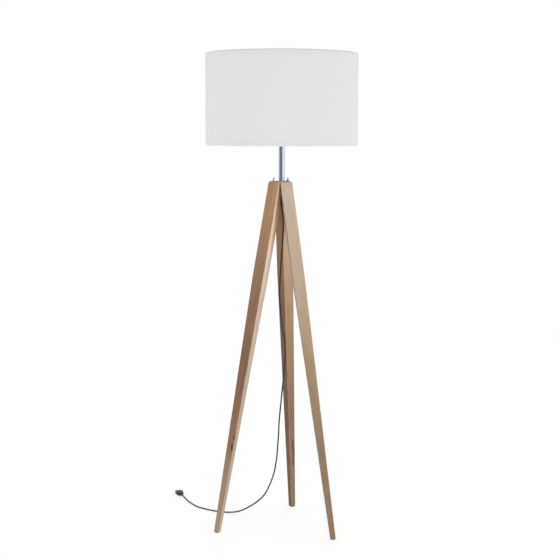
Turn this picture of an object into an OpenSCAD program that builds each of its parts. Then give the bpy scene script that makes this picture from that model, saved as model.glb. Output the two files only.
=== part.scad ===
// Tripod floor lamp: three tapered wooden legs bolted under a steel plate, a chrome pole,
// an E27 lampholder with a push-through switch, an opal bulb and a wide fabric drum shade.
// The origin is on the floor, under the pole. The rear leg points along +Y.

/* [Legs] */
// Height of the legs' flat tops above the floor
leg_top_z = 1166; // [1120:1:1200]
// Height at which the taper starts
knee_z = 850; // [750:1:950]
// Side of the square section above the taper
leg_side = 40; // [34:0.5:43]
// Side of the square section at the foot
foot_side = 17.5; // [14:0.5:24]
// Distance from the axis to a leg's centre at the top
leg_top_r = 18; // [17:0.5:21]
// Distance from the axis to a leg's centre at the floor
foot_r = 225; // [200:1:240]
// Radius of the eased long edges
leg_edge_r = 1.6; // [0.5:0.1:3]

/* [Hub] */
// Thickness of the plate on top of the legs
plate_t = 3; // [2:0.1:4]
// Distance from the axis to the middle of each rounded plate corner
plate_r = 37; // [30:0.5:38]
// Distance from the axis to each leg bolt
stud_r = 27; // [25:0.5:29]
// Diameter of the leg bolts
stud_d = 5; // [4:0.5:6]
// Bore for the pipe and the cord between the legs
channel_d = 18; // [17:0.5:20]

/* [Pole] */
// Outer diameter of the chrome pole
pole_d = 24; // [22:0.5:26]
// Wall of the pole
pole_wall = 1.2; // [1:0.1:2]
// How far the pole reaches above the shade's lower rim
pole_inside = 10; // [6:1:20]

/* [Shade] */
// Height of the shade's lower rim above the floor
shade_z = 1286; // [1260:1:1310]
// Outer diameter of the shade
shade_d = 500; // [440:1:520]
// Height of the shade
shade_h = 300; // [250:1:320]
// Thickness of the fabric
fabric_t = 1; // [0.8:0.1:1.5]
// Diameter of the shade's wires
wire_d = 4; // [3:0.5:4]

/* [Bulb and lampholder] */
// Diameter of the bulb's globe
globe_d = 60; // [55:1:70]
// Overall length of the bulb
bulb_l = 110; // [104:1:120]
// Diameter of the holder's threaded sleeve
holder_d = 38; // [38:0.5:39]
// Travel of the push-through switch bar
switch_travel = 5; // [3:0.5:6]

/* [Cord] */
// Diameter of the mains cord
cord_d = 5; // [4.5:0.5:6]

/* [Hidden] */

$fn = 64;
eps = 0.01;
running = 0.05;

// Directions of the legs, seen from above, +X being 0
left_leg = 210;
right_leg = 330;
rear_leg = 90;
leg_dirs = [left_leg, right_leg, rear_leg];

// Legs
pad_d = 13;
pad_t = 2;
mitre_gap = 0.1;
leg_lean = (foot_r - leg_top_r) / leg_top_z;
stud_in_wood = 45;
edge_steps = 4;

// Hub, from the legs' tops upwards
plate_top = leg_top_z + plate_t;
plate_corner = 5;
washer_t = 1;
washer_d = 10;
nut_t = 4;
nut_af = 8;
stud_top = leg_top_z + 15.5;
pipe_d = 10;
pipe_bore = 7.5;
pipe_below = 14;
hub_washer_d = 22;
hub_washer_t = 1.5;
hub_nut_af = 14;
hub_nut_t = 4;
pocket_d = 23.5;
pocket_depth = 7;
gland_d = 15;
gland_body = 14;
gland_tail = 30;
gland_z = leg_top_z - hub_washer_t - hub_nut_t - gland_body;
cord_exit_z = gland_z - gland_tail;

// Pole
pole_top = shade_z + pole_inside;
pole_in_d = pole_d - 2 * pole_wall;
bush_l = 14;
holder_pipe_below = 12;
holder_pipe_above = 9;

// Lampholder, from the pole's top upwards
base_h = 20;
base_floor = 4;
base_bottom_d = 26;
sleeve_z = pole_top + base_h;
sleeve_h = 42;
sleeve_wall = 2.5;
sleeve_in_d = holder_d - 2 * sleeve_wall;
flange_z = sleeve_z + 12;
flange_t = 2;
flange_d = 47;
thread_d = 27.6;
thread_shell_t = 0.5;
insert_z = sleeve_z + 2;
insert_floor = 7;
insert_h = 34;
shell_gap = 2;
core_d = 2.2;
core_at = 1.3;
cable_top = pole_top + 5;

// Switch bar, across the holder's base
bar_d = 5;
bar_cap_d = 8.5;
bar_cap_t = 3;
bar_y = -9;
bar_x = -switch_travel / 2;
bar_z = pole_top + 12;
bar_l = 44;
bar_collar_d = 6.4;

// Shade seat and ring nut
fitter_t = 1.5;
seat_gap = 0.3;
fitter_z = flange_z + flange_t + seat_gap;
fitter_in_d = holder_d + 3;
fitter_out_d = 56;
ring_nut_h = 8;
ring_nut_d = 49;
ring_nut_z = fitter_z + fitter_t + seat_gap;

// Bulb, from its tip upwards
tip_d = 9;
tip_h = 1.8;
insulator_h = 4;
cap_d = 26.2;
cap_h = 21;
housing_h = 32;
housing_d = 46;
tip_z = insert_z + insert_floor + 3;
cap_z = tip_z + tip_h + insulator_h;
housing_z = cap_z + cap_h;
globe_z = tip_z + bulb_l - globe_d / 2;
globe_wall = 1.2;

// Shade
shade_r = shade_d / 2;
shade_top = shade_z + shade_h;
liner_t = 0.8;
hem_h = 12;
wire_r = wire_d / 2;
ring_r = shade_r - fabric_t - liner_t - wire_r;
hem_in_r = ring_r - wire_r - fabric_t;
arm_start_r = fitter_out_d / 2 - 2;
arm_end_r = ring_r - 1;
arm_start_z = fitter_z + fitter_t / 2;
arm_end_z = shade_z + fabric_t + wire_r;
arm_dirs = [30, 150, 270];

// Cord: the points it passes, from the gland to the plug
cord_sides = 10;
cord_step = 20;
floor_z = cord_d / 2 + 0.1;
route = [
    [0, 0, cord_exit_z],
    [0, 0, cord_exit_z - 30],
    [5, 1, 1050],
    [6, 3, 1018],
    [3, 5, 975],
    [0, 6, 930],
    [-5, 7, 853],
    [-7, 9, 779],
    [-2, 14, 700],
    [7, 19, 642],
    [10, 22, 591],
    [5, 26, 521],
    [-4, 32, 438],
    [-13, 38, 353],
    [-17, 45, 296],
    [-26, 56, 209],
    [-40, 66, 149],
    [-67, 77, 88],
    [-96, 83, 55],
    [-130, 88, 30],
    [-165, 94, 11.5],
    [-203, 100, floor_z + 1.2],
    [-245, 107, floor_z],
    [-288, 123, floor_z],
    [-331, 151, floor_z],
    [-370, 197, floor_z + 0.2],
    [-395, 234, 4.8],
    [-410, 257, 7]
];
plug_at = route[len(route) - 1];
plug_dir = 122;
plug_heading = [cos(plug_dir), sin(plug_dir), 0];
relief_l = 20;
plug_l = 34;
plug_w = 26;
plug_t = 13.6;
pin_d = 4;
pin_l = 19;
pin_spacing = 18.6;

// ---------- Helpers ----------

// Radial distance of a leg's centre line from the axis at a height
function leg_r(z) = foot_r - leg_lean * z;

// Side of a leg's square section at a height
function side_at(z) = z >= knee_z ? leg_side : foot_side + (leg_side - foot_side) * z / knee_z;

// Outline of a square standing on its corner, with rounded corners
function diamond(side, r) = [
    for (corner = [0:3], i = [0:edge_steps])
        let (a = corner * 90 - 45 + i * 90 / edge_steps, d = (side / 2 - r) * sqrt(2))
            [d * cos(corner * 90) + r * cos(a), d * sin(corner * 90) + r * sin(a)]
];

// Triangles that join ring k to ring k + 1, n points each
function wall(n, k) = [
    for (i = [0:n - 1])
        let (j = (i + 1) % n, a = k * n, b = (k + 1) * n)
            each [[a + i, b + i, b + j], [a + i, b + j, a + j]]
];

// Solid skinned over rings of points, all with the same number of points
module skin(rings) {
    n = len(rings[0]);
    last = len(rings) - 1;
    caps = [[for (i = [0:n - 1]) i], [for (i = [n - 1:-1:0]) last * n + i]];
    polyhedron([for (r = rings) each r], concat([for (k = [0:last - 1]) each wall(n, k)], caps));
}

module tube(outer_d, inner_d, h) {
    difference() {
        cylinder(d = outer_d, h = h);
        translate([0, 0, -1]) cylinder(d = inner_d, h = h + 2);
    }
}

module hex_nut(af, bore, h) {
    difference() {
        cylinder(d = af / cos(30), h = h, $fn = 6);
        translate([0, 0, -1]) cylinder(d = bore, h = h + 2);
    }
}

module each_leg(r) {
    for (dir = leg_dirs) rotate(dir) translate([r, 0, 0]) children();
}

// ---------- Legs ----------

// One ring of leg outline points at a height, for a leg along +X
function leg_ring(z) = [
    for (p = diamond(side_at(z), leg_edge_r)) [p[0] + leg_r(z), p[1], z]
];

// The third of the plan that belongs to the leg along +X
module leg_sector() {
    reach = 300;
    translate([2 * mitre_gap, 0, 0])
        linear_extrude(leg_top_z)
            polygon([[0, 0], [reach, -reach * tan(60)], [reach * 2, 0], [reach, reach * tan(60)]]);
}

module leg(dir) {
    rotate(dir) difference() {
        intersection() {
            skin([for (z = [pad_t, knee_z, leg_top_z]) leg_ring(z)]);
            leg_sector();
        }
        translate([0, 0, -1]) cylinder(d = channel_d, h = leg_top_z + 2);
        translate([0, 0, leg_top_z - pocket_depth]) cylinder(d = pocket_d, h = pocket_depth + 1);
        translate([stud_r, 0, leg_top_z - stud_in_wood]) cylinder(d = stud_d, h = stud_in_wood + 1);
    }
}

module leg_left() {
    color("#b98f68") leg(left_leg);
}

module leg_right() {
    color("#cdb091") leg(right_leg);
}

module leg_rear() {
    color("#a98562") leg(rear_leg);
}

module felt_pads() {
    color("#4a3b30") each_leg(leg_r(pad_t)) cylinder(d = pad_d, h = pad_t);
}

// ---------- Hub ----------

module leg_studs() {
    chamfer = 0.8;
    h = stud_top - leg_top_z + stud_in_wood;
    color("silver") each_leg(stud_r) translate([0, 0, stud_top - h]) {
        cylinder(d = stud_d, h = h - chamfer);
        translate([0, 0, h - chamfer]) cylinder(d1 = stud_d, d2 = stud_d - 2 * chamfer, h = chamfer);
    }
}

module leg_washers() {
    color("silver") each_leg(stud_r) translate([0, 0, plate_top]) tube(washer_d, stud_d, washer_t);
}

module leg_nuts() {
    color("silver") each_leg(stud_r) translate([0, 0, plate_top + washer_t]) hex_nut(nut_af, stud_d, nut_t);
}

module hub_plate() {
    color("#8d8a86") translate([0, 0, leg_top_z]) difference() {
        linear_extrude(plate_t) hull() each_leg(plate_r) circle(plate_corner, $fn = 48);
        translate([0, 0, -1]) cylinder(d = pipe_d, h = plate_t + 2);
        each_leg(stud_r) translate([0, 0, -1]) cylinder(d = stud_d, h = plate_t + 2);
    }
}

module hub_pipe() {
    color("silver") translate([0, 0, leg_top_z - pipe_below])
        tube(pipe_d, pipe_bore, pipe_below + plate_t + bush_l);
}

module hub_washer() {
    color("silver") translate([0, 0, leg_top_z - hub_washer_t]) tube(hub_washer_d, pipe_d, hub_washer_t);
}

module hub_nut() {
    color("silver") translate([0, 0, leg_top_z - hub_washer_t - hub_nut_t])
        hex_nut(hub_nut_af, pipe_d, hub_nut_t);
}

// Cord grip: a collar screwed on the pipe, and a tapered tail that holds the cord
module cord_gland() {
    tail_d = cord_d + 2;
    collar_h = leg_top_z - pipe_below - gland_z;
    color("#1c1c1e") translate([0, 0, cord_exit_z]) difference() {
        union() {
            cylinder(d1 = tail_d, d2 = gland_d - 3, h = gland_tail);
            translate([0, 0, gland_tail]) cylinder(d = gland_d, h = gland_body);
        }
        translate([0, 0, gland_tail + collar_h]) cylinder(d = pipe_d, h = gland_body);
        translate([0, 0, -1]) cylinder(d = cord_d, h = gland_tail + gland_body + 2);
    }
}

// ---------- Pole ----------

module pole() {
    color("#c9ced4") translate([0, 0, plate_top]) tube(pole_d, pole_in_d, pole_top - plate_top);
}

module pole_lower_bush() {
    color("silver") translate([0, 0, plate_top]) tube(pole_in_d, pipe_d, bush_l);
}

module pole_upper_bush() {
    color("silver") translate([0, 0, pole_top - bush_l]) tube(pole_in_d, pipe_d, bush_l);
}

module holder_pipe() {
    color("silver") translate([0, 0, pole_top - holder_pipe_below])
        tube(pipe_d, pipe_bore, holder_pipe_below + holder_pipe_above);
}

// The part of the mains cord that runs up through the hub and the pole
module inner_cable() {
    color("#222222") translate([0, 0, cord_exit_z]) cylinder(d = cord_d, h = cable_top - cord_exit_z);
}

module core(side) {
    translate([side * core_at, 0, cable_top]) cylinder(d = core_d, h = insert_z - cable_top);
}

module core_live() {
    color("saddlebrown") core(1);
}

module core_neutral() {
    color("steelblue") core(-1);
}

// ---------- Lampholder ----------

module holder_base() {
    rim = 3;
    color("#f2f2ee") difference() {
        translate([0, 0, pole_top]) {
            cylinder(d1 = base_bottom_d, d2 = holder_d, h = base_h - rim);
            translate([0, 0, base_h - rim]) cylinder(d = holder_d, h = rim);
        }
        translate([0, 0, pole_top + base_floor])
            cylinder(d1 = base_bottom_d - 5, d2 = sleeve_in_d, h = base_h - base_floor + eps);
        translate([0, 0, pole_top - 1]) cylinder(d = pipe_d, h = base_floor + 2);
        switch_bore();
    }
}

module holder_nut() {
    color("silver") translate([0, 0, pole_top + base_floor]) hex_nut(hub_nut_af, pipe_d, hub_nut_t);
}

module switch_bore() {
    translate([-bar_l, bar_y, bar_z]) rotate([0, 90, 0])
        cylinder(d = bar_d + 2 * running, h = 2 * bar_l);
}

// Threaded sleeve with the shoulder that the shade rests on
module holder_sleeve() {
    groove = 0.8;
    pitch = 3;
    first = ring_nut_z + ring_nut_h + 1;
    last = sleeve_z + sleeve_h - pitch;
    color("#f2f2ee") difference() {
        union() {
            translate([0, 0, sleeve_z]) cylinder(d = holder_d, h = sleeve_h);
            translate([0, 0, flange_z]) cylinder(d = flange_d, h = flange_t);
        }
        translate([0, 0, sleeve_z - 1]) cylinder(d = sleeve_in_d, h = sleeve_h + 2);
        for (z = [first:pitch:last]) translate([0, 0, z])
            tube(holder_d + 2, holder_d - 2 * groove, pitch / 3);
    }
}

// Heat-proof insert: a floor that carries the contacts, and a wall round the thread shell
module holder_insert() {
    color("#e9e6df") difference() {
        translate([0, 0, insert_z]) cylinder(d = sleeve_in_d, h = insert_h);
        translate([0, 0, insert_z + insert_floor])
            cylinder(d = thread_d + 2 * thread_shell_t, h = insert_h);
    }
}

module thread_shell() {
    color("goldenrod") translate([0, 0, insert_z + insert_floor + shell_gap])
        tube(thread_d + 2 * thread_shell_t, thread_d, insert_h - insert_floor - shell_gap - 2);
}

// Sprung tongue that meets the bulb's tip
module centre_spring() {
    w = 5;
    t = 0.5;
    foot = 9;
    rise = 2.2;
    z = insert_z + insert_floor;
    color("goldenrod") translate([0, w / 2, z]) rotate([90, 0, 0]) linear_extrude(w)
        polygon([[-foot, 0], [-foot / 2, 0], [-2, rise], [2, rise], [foot / 2, 1], [foot / 2, 1 + t],
            [2, rise + t], [-2, rise + t], [-foot / 2, t], [-foot, t]]);
}

// Ring nut that clamps the shade on the shoulder
module shade_ring_nut() {
    grips = 16;
    grip_d = 4;
    color("#f2f2ee") translate([0, 0, ring_nut_z]) difference() {
        tube(ring_nut_d, holder_d, ring_nut_h);
        for (i = [0:grips - 1]) rotate(i * 360 / grips)
            translate([ring_nut_d / 2 + grip_d / 4, 0, 2]) cylinder(d = grip_d, h = ring_nut_h);
    }
}

module switch_bar() {
    color("#f2f2ee") translate([bar_x, bar_y, bar_z]) rotate([0, 90, 0]) {
        translate([0, 0, -bar_l / 2]) cylinder(d = bar_d, h = bar_l);
        translate([0, 0, -1]) cylinder(d = bar_collar_d, h = 2);
    }
}

// The two press caps on the bar's ends
module switch_caps() {
    color("#f2f2ee") for (end = [-1, 1])
        translate([bar_x + end * (bar_l + bar_cap_t) / 2, bar_y, bar_z])
            rotate([0, 90, 0]) cylinder(d = bar_cap_d, h = bar_cap_t, center = true);
}

// Contact blade that hangs from the insert, over the bar's collar
module switch_contact() {
    blade_w = 8;
    blade_t = 1;
    z = bar_z + bar_collar_d / 2 + 0.5;
    color("goldenrod") translate([-blade_w / 2, bar_y - blade_t / 2, z])
        cube([blade_w, blade_t, insert_z - z]);
}

// ---------- Bulb ----------

module bulb_tip() {
    color("silver") translate([0, 0, tip_z]) cylinder(d1 = tip_d - 3, d2 = tip_d, h = tip_h);
}

module bulb_insulator() {
    color("#15151a") translate([0, 0, tip_z + tip_h])
        cylinder(d1 = tip_d + 4, d2 = cap_d - 1, h = insulator_h);
}

module bulb_cap() {
    color("silver") translate([0, 0, cap_z]) tube(cap_d, cap_d - 1, cap_h);
}

module bulb_housing() {
    wall_t = 1.5;
    color("white") translate([0, 0, housing_z]) rotate_extrude() polygon([
        [cap_d / 2 - 2, 0], [cap_d / 2 + 1, 0], [cap_d / 2 + 1, 3], [housing_d / 2, housing_h],
        [housing_d / 2 - wall_t, housing_h], [cap_d / 2 - 1, 4], [cap_d / 2 - 2, 4]
    ]);
}

module bulb_led_board() {
    color("gold") translate([0, 0, housing_z + housing_h - 3]) cylinder(d = housing_d - 8, h = 1.6);
}

// Opal globe: a sphere cut off where the housing starts
module bulb_globe() {
    cut_z = housing_z + housing_h;
    color("ivory") difference() {
        translate([0, 0, globe_z]) sphere(d = globe_d);
        translate([0, 0, globe_z]) sphere(d = globe_d - 2 * globe_wall);
        translate([0, 0, cut_z - globe_d]) cylinder(d = 2 * globe_d, h = globe_d);
    }
}

// ---------- Shade ----------

// Fabric wall, folded over the wire at each rim and turned down inside as a hem
module shade_fabric() {
    out = shade_r;
    color("#e9e7e1") difference() {
        translate([0, 0, shade_z]) rotate_extrude($fn = 180) polygon([
            [out, 0], [out, shade_h],
            [hem_in_r, shade_h], [hem_in_r, shade_h - hem_h],
            [hem_in_r + fabric_t, shade_h - hem_h], [hem_in_r + fabric_t, shade_h - fabric_t],
            [out - fabric_t, shade_h - fabric_t], [out - fabric_t, fabric_t],
            [hem_in_r + fabric_t, fabric_t], [hem_in_r + fabric_t, hem_h],
            [hem_in_r, hem_h], [hem_in_r, 0]
        ]);
        spokes(wire_d + 1, arm_start_r, ring_r);
    }
}

// Stiff translucent lining behind the fabric
module shade_liner() {
    color("white") translate([0, 0, shade_z + fabric_t])
        tube(2 * (shade_r - fabric_t), 2 * (shade_r - fabric_t - liner_t), shade_h - 2 * fabric_t);
}

module rim_wire(z) {
    translate([0, 0, z]) rotate_extrude($fn = 180) translate([ring_r, 0]) circle(d = wire_d, $fn = 24);
}

module shade_top_ring() {
    color("white") rim_wire(shade_top - fabric_t - wire_r);
}

module shade_bottom_ring() {
    color("white") rim_wire(shade_z + fabric_t + wire_r);
}

// Straight rods from the fitter ring out to the lower rim
module spokes(d, from_r, to_r) {
    run = arm_end_r - arm_start_r;
    drop = arm_start_z - arm_end_z;
    slope = atan(drop / run);
    l = (to_r - from_r) / cos(slope);
    for (dir = arm_dirs) rotate(dir) translate([from_r, 0, arm_start_z])
        rotate([0, 90 + slope, 0]) cylinder(d = d, h = l, $fn = 32);
}

module spider_arms() {
    color("white") spokes(wire_d, arm_start_r, arm_end_r);
}

module fitter_ring() {
    color("white") translate([0, 0, fitter_z]) tube(fitter_out_d, fitter_in_d, fitter_t);
}

// ---------- Cord and plug ----------

// Point on the smooth curve through the route: segment i, share t from 0 to 1
function route_point(i, t) =
    let (
        n = len(route) - 1,
        a = route[max(i - 1, 0)],
        b = route[i],
        c = route[min(i + 1, n)],
        d = route[min(i + 2, n)]
    ) (2 * b + (c - a) * t + (2 * a - 5 * b + 4 * c - d) * t * t
        + (3 * b - a - 3 * c + d) * t * t * t) / 2;

// The curve's points, about one step apart
centres = [
    for (i = [0:len(route) - 2])
        let (parts = max(1, round(norm(route[i + 1] - route[i]) / cord_step)))
            each [for (k = [0:parts - 1]) route_point(i, k / parts)],
    plug_at
];

function unit(v) = v / norm(v);

function heading(k) = unit(centres[min(k + 1, len(centres) - 1)] - centres[max(k - 1, 0)]);

// A frame that never flips: the cord never runs along +X + +Y
function cord_ring(k) =
    let (
        along = k == 0 ? [0, 0, -1] : k == len(centres) - 1 ? plug_heading : heading(k),
        across = unit(cross(along, [1, 1, 0])),
        up = cross(along, across)
    ) [for (s = [0:cord_sides - 1]) let (a = s * 360 / cord_sides)
        centres[k] + cord_d / 2 * (across * cos(a) + up * sin(a))];

module cord() {
    color("#2a2a2c") skin([for (k = [0:len(centres) - 1]) cord_ring(k)]);
}

module at_plug(forward) {
    translate(plug_at) rotate(plug_dir) rotate([0, 90, 0]) translate([0, 0, forward]) children();
}

module plug_relief() {
    color("#1c1c1e") at_plug(0) cylinder(d1 = cord_d + 1, d2 = 9, h = relief_l);
}

// Flat plug body, rounded in plan
module plug_body() {
    nose = 17;
    corner = 3;
    color("#1c1c1e") translate(plug_at - [0, 0, plug_t / 2]) rotate(plug_dir)
        translate([relief_l, 0, 0]) linear_extrude(plug_t) hull() {
            translate([corner, -nose / 2 + corner]) circle(corner, $fn = 32);
            translate([corner, nose / 2 - corner]) circle(corner, $fn = 32);
            translate([plug_l - corner, -plug_w / 2 + corner]) circle(corner, $fn = 32);
            translate([plug_l - corner, plug_w / 2 - corner]) circle(corner, $fn = 32);
        }
}

module plug_pins() {
    color("silver") for (side = [-1, 1]) at_plug(relief_l + plug_l)
        translate([0, side * pin_spacing / 2, 0]) {
            cylinder(d = pin_d, h = pin_l - 1.5);
            translate([0, 0, pin_l - 1.5]) cylinder(d1 = pin_d, d2 = pin_d - 2, h = 1.5);
        }
}

leg_left();
leg_right();
leg_rear();
felt_pads();
leg_studs();
leg_washers();
leg_nuts();
hub_plate();
hub_pipe();
hub_washer();
hub_nut();
cord_gland();
pole();
pole_lower_bush();
pole_upper_bush();
holder_pipe();
inner_cable();
core_live();
core_neutral();
holder_base();
holder_nut();
holder_sleeve();
holder_insert();
thread_shell();
centre_spring();
shade_ring_nut();
switch_bar();
switch_caps();
switch_contact();
bulb_tip();
bulb_insulator();
bulb_cap();
bulb_housing();
bulb_led_board();
bulb_globe();
shade_fabric();
shade_liner();
shade_top_ring();
shade_bottom_ring();
spider_arms();
fitter_ring();
cord();
plug_relief();
plug_body();
plug_pins();
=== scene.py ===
import math

import bpy
from mathutils import Euler, Matrix, Vector, noise as mnoise


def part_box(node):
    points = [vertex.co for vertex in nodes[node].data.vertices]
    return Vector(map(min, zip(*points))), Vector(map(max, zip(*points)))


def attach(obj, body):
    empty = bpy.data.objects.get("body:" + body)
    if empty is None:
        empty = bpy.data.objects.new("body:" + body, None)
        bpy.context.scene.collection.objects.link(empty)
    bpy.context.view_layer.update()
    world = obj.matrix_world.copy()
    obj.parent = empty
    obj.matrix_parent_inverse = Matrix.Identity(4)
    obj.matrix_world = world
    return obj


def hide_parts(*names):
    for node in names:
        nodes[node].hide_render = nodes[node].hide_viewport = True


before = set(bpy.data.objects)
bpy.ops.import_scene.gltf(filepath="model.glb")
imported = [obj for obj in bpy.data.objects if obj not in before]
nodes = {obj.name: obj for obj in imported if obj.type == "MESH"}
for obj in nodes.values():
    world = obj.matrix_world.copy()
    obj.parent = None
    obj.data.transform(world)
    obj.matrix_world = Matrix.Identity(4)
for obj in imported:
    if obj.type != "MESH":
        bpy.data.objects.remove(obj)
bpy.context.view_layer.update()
scene = bpy.context.scene


# ---------- Measures, in metres: the same as the solids' ----------

# Legs, each with the direction it stands in, in degrees from +X
LEG_DIRS = {"leg_left": 210, "leg_right": 330, "leg_rear": 90}
LEG_TOP_Z = 1.166
KNEE_Z = 0.850
LEG_SIDE = 0.040
FOOT_SIDE = 0.0175
LEG_TOP_R = 0.018
FOOT_R = 0.225

# Leg bolts and their nuts
STUD_AT_R = 0.027
STUD_R = 0.0025
STUD_LOW, STUD_TOP = 1.122, 1.1815
NUT_LOW, NUT_H, NUT_AF = 1.170, 0.004, 0.008

# Bulb cap
CAP_R = 0.0131
CAP_WALL = 0.0005

# Shade, with the hem turned in at both rims
SHADE_Z = 1.286
SHADE_R = 0.250
SHADE_H = 0.300
HEM_IN_R = 0.2432
HEM_H = 0.012
ARM_DIRS = [math.radians(a) for a in (30, 150, 270)]

# Cord and plug; the cord's middle lies FLOOR_Z up where it is on the floor
CORD_D = 0.005
FLOOR_Z = 0.0026
PLUG_DIR = 122
RELIEF_L = 0.020
PLUG_L = 0.034

# The route that the cord's solid follows, from the gland to the plug
ROUTE = [
    (0, 0, 1.1165), (0, 0, 1.0865), (0.005, 0.001, 1.050), (0.006, 0.003, 1.018),
    (0.003, 0.005, 0.975), (0, 0.006, 0.930), (-0.005, 0.007, 0.853), (-0.007, 0.009, 0.779),
    (-0.002, 0.014, 0.700), (0.007, 0.019, 0.642),
    (0.010, 0.022, 0.591), (0.005, 0.026, 0.521), (-0.004, 0.032, 0.438), (-0.013, 0.038, 0.353),
    (-0.017, 0.045, 0.296), (-0.026, 0.056, 0.209), (-0.040, 0.066, 0.149), (-0.067, 0.077, 0.088),
    (-0.096, 0.083, 0.055), (-0.130, 0.088, 0.030), (-0.165, 0.094, 0.0115), (-0.203, 0.100, 0.0038),
    (-0.245, 0.107, FLOOR_Z), (-0.288, 0.123, FLOOR_Z), (-0.331, 0.151, FLOOR_Z),
    (-0.370, 0.197, 0.0028), (-0.395, 0.234, 0.0048), (-0.410, 0.257, 0.007),
]


# ---------- Camera ----------

CAM_TURN = math.radians(10.3368)
CAM_PITCH = math.radians(5.4895)
CAM_ROLL = 0.0026
CAM_AT = (0.7506, -4.1324, 1.3345)
CAM_LENS = 81.55
CAM_SHIFT = (-0.0009, -0.0491)


def make_camera():
    """The main view: from the front and a little to the right, at chest height."""
    data = bpy.data.cameras.new("camera")
    data.lens = CAM_LENS
    data.sensor_width = 36
    data.shift_x, data.shift_y = CAM_SHIFT
    data.clip_start, data.clip_end = 0.05, 100
    cam = bpy.data.objects.new("camera", data)
    scene.collection.objects.link(cam)
    tilt = Euler((math.pi / 2 - CAM_PITCH, 0, CAM_TURN)).to_matrix()
    turn = tilt @ Matrix.Rotation(CAM_ROLL, 3, "Z")
    cam.matrix_world = Matrix.Translation(CAM_AT) @ turn.to_4x4()
    scene.camera = cam


make_camera()


# ---------- Node helpers ----------

def put(tree, socket, value):
    """Feeds a socket: from another socket by a link, or with a plain value."""
    if isinstance(value, bpy.types.NodeSocket):
        tree.links.new(value, socket)
    elif value is not None:
        if socket.type == "RGBA" and len(value) == 3:
            value = (*value, 1)
        socket.default_value = value


def add_node(tree, kind, values=(), **props):
    """A node with its properties set, and its sockets fed."""
    node = tree.nodes.new(kind)
    for key, value in props.items():
        setattr(node, key, value)
    for key, value in dict(values).items():
        put(tree, node.inputs[key], value)
    return node


def colour_ramp(tree, value, stops):
    """A ramp of colours; stops are (place from 0 to 1, colour)."""
    ramp = add_node(tree, "ShaderNodeValToRGB", {0: value})
    elements = ramp.color_ramp.elements
    for i, (place, colour) in enumerate(stops):
        e = elements[i] if i < 2 else elements.new(place)
        e.position = place
        e.color = (*colour, 1)
    return ramp.outputs[0]


class Look:
    """A procedural material: a Principled shader and the nodes that feed it."""

    def __init__(self, name, **sockets):
        self.mat = bpy.data.materials.new(name)
        self.mat.use_nodes = True
        self.tree = self.mat.node_tree
        self.tree.nodes.clear()
        self.bsdf = self.add("ShaderNodeBsdfPrincipled")
        self.add("ShaderNodeOutputMaterial", {0: self.bsdf.outputs[0]})
        for key, value in sockets.items():
            self.set(key.replace("_", " "), value)

    def set(self, socket, value):
        put(self.tree, self.bsdf.inputs[socket], value)

    def add(self, kind, values=(), **props):
        return add_node(self.tree, kind, values, **props)

    def coords(self):
        return self.add("ShaderNodeTexCoord").outputs["Object"]

    def uv(self):
        return self.add("ShaderNodeUVMap", uv_map="Lay").outputs[0]

    def math(self, op, a, b=None, c=None, clamp=False):
        return self.add("ShaderNodeMath", {0: a, 1: b, 2: c}, operation=op, use_clamp=clamp).outputs[0]

    def scaled(self, vec, size, turn=(0, 0, 0), at=(0, 0, 0)):
        values = {"Vector": vec, "Scale": size, "Rotation": turn, "Location": at}
        return self.add("ShaderNodeMapping", values).outputs[0]

    def noise(self, vec, scale, detail=3.0, rough=0.5, bend=0.0):
        values = {"Vector": vec, "Scale": scale, "Detail": detail, "Roughness": rough, "Distortion": bend}
        return self.add("ShaderNodeTexNoise", values).outputs[0]

    def span(self, value, a, b, low=0.0, high=1.0, smooth=False):
        """Takes a to low and b to high, evenly or smoothly between, and stops at both."""
        kind = "SMOOTHSTEP" if smooth else "LINEAR"
        values = {0: value, 1: a, 2: b, 3: low, 4: high}
        return self.add("ShaderNodeMapRange", values, interpolation_type=kind).outputs[0]

    def mix(self, share, a, b, blend="MIX"):
        node = self.add("ShaderNodeMix", {0: share, 6: a, 7: b}, data_type="RGBA", blend_type=blend)
        return node.outputs[2]

    def parts(self, vec):
        """The x, y and z of a vector."""
        return self.add("ShaderNodeSeparateXYZ", {0: vec}).outputs

    def join(self, x, y, z):
        return self.add("ShaderNodeCombineXYZ", {0: x, 1: y, 2: z}).outputs[0]

    def bump(self, height, strength, depth):
        values = {"Height": height, "Strength": strength, "Distance": depth}
        self.set("Normal", self.add("ShaderNodeBump", values).outputs[0])


def dress(look, *names):
    """Gives CAD nodes a material."""
    for name in names:
        data = nodes[name].data
        data.materials.clear()
        data.materials.append(look.mat)


# ---------- Wood ----------

# Where the foot and the top lie along a leg's own frame
LEG_Z_FOOT, LEG_Z_TOP = -0.039, 1.145
RING_PITCH = 0.0034
KNOT_RING_PITCH = 0.0017
PALE_GRAIN = (1.22, 1.20, 1.16)
DARK_GRAIN = (0.74, 0.70, 0.66)


def leg_frame(k, direction):
    """Coordinates in a leg's own frame: x outward from its centre line, z along it, in metres."""
    lean = math.atan((FOOT_R - LEG_TOP_R) / LEG_TOP_Z)
    turned = k.scaled(k.coords(), (1, 1, 1), turn=(0, 0, math.radians(-direction)))
    return k.scaled(turned, (1, 1, 1), turn=(0, lean, 0), at=(-FOOT_R * math.cos(lean), 0, 0))


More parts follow.
